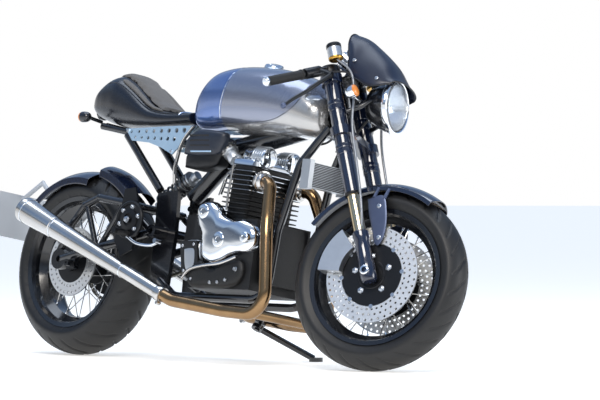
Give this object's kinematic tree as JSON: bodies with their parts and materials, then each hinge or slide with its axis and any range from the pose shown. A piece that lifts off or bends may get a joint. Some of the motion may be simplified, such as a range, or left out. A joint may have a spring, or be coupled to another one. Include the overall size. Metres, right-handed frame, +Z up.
{
  "type": "cafe racer motorcycle",
  "caption": "Retro cafe racer motorcycle with a finned parallel twin engine, spoked wheels, small flyscreen, humped single seat and swept silencers, leaning on its side stand.",
  "frame": {"origin": "centre of the footprint, on the floor", "axes": "+X forward, +Y to the rider's left, +Z up"},
  "size_m": [2.1127, 0.6356, 1.0938],
  "materials": {
    "black_frame_paint": "satin",
    "black_engine_paint": "satin",
    "cast_alloy": "satin",
    "polished_alloy": "polished",
    "stainless_bronze": "heat tinted",
    "polished_steel": "polished",
    "tank_paint": "metallic gloss",
    "navy_paint": "gloss",
    "black_leather": "matt",
    "grey_suede": "suede",
    "blue_alloy": "brushed",
    "black_plastic": "matt",
    "white_plate": "matt",
    "lamp_lens": "gloss",
    "chain_steel": "satin",
    "tyre_rubber": "matt",
    "spoke_steel": "polished",
    "disc_steel": "brushed",
    "black_anodised": "satin"
  },
  "bodies": {
    "frame": {"frame_spine": "black_frame_paint", "frame_cradle": "black_frame_paint", "swingarm": "black_frame_paint", "shock": "cast_alloy", "engine_block": "cast_alloy", "cylinders": "black_engine_paint", "rocker_cover": "polished_alloy", "timing_cover": "polished_alloy", "primary_cover": "polished_alloy", "throttle_bodies": "cast_alloy", "oil_cooler": "cast_alloy", "exhaust_pipes": "stainless_bronze", "silencers": "polished_steel", "fuel_tank": "tank_paint", "seat_base": "black_leather", "seat_pad": "grey_suede", "side_plates": "blue_alloy", "side_covers": "black_plastic", "rear_sets": "black_anodised", "rear_mudguard": "navy_paint", "number_plate": "white_plate", "rear_lights": "lamp_lens", "chain": "chain_steel"},
    "rear_wheel": {"rear_tyre": "tyre_rubber", "rear_rim": "black_anodised", "rear_spokes": "spoke_steel", "rear_hub": "black_anodised", "rear_disc": "disc_steel"},
    "fork": {"yokes": "cast_alloy", "fork_tubes": "navy_paint", "fork_sliders": "navy_paint", "clip_ons": "black_anodised", "hand_levers": "black_anodised", "clocks": "polished_alloy", "headlight": "polished_steel", "flyscreen": "navy_paint", "front_indicators": "polished_steel", "front_mudguard": "navy_paint", "front_calipers": "cast_alloy"},
    "front_wheel": {"front_tyre": "tyre_rubber", "front_rim": "black_anodised", "front_spokes": "spoke_steel", "front_hub": "black_anodised", "front_discs": "disc_steel"},
    "side_stand": {"side_stand": "black_frame_paint"}
  },
  "joints": [
    {"name": "rear_wheel_spin", "type": "hinge", "parent": "frame", "child": "rear_wheel", "pos_m": [-0.64996, -0.06398, 0.31155], "axis": [-0.0007, 0.9839, -0.1788], "continuous": true},
    {"name": "steering", "type": "hinge", "parent": "frame", "child": "fork", "pos_m": [0.50481, 0.02671, 0.80631], "axis": [-0.4034, 0.1633, 0.9003], "range_deg": [-40, 0]},
    {"name": "front_wheel_spin", "type": "hinge", "parent": "fork", "child": "front_wheel", "pos_m": [0.76823, -0.05617, 0.28886], "axis": [-0.3136, 0.8997, -0.3037], "continuous": true},
    {"name": "side_stand_pivot", "type": "hinge", "parent": "frame", "child": "side_stand", "pos_m": [0.10932, 0.02477, 0.11475], "axis": [0.0037, 0.6054, 0.7959], "range_deg": [0, 119]}
  ]
}
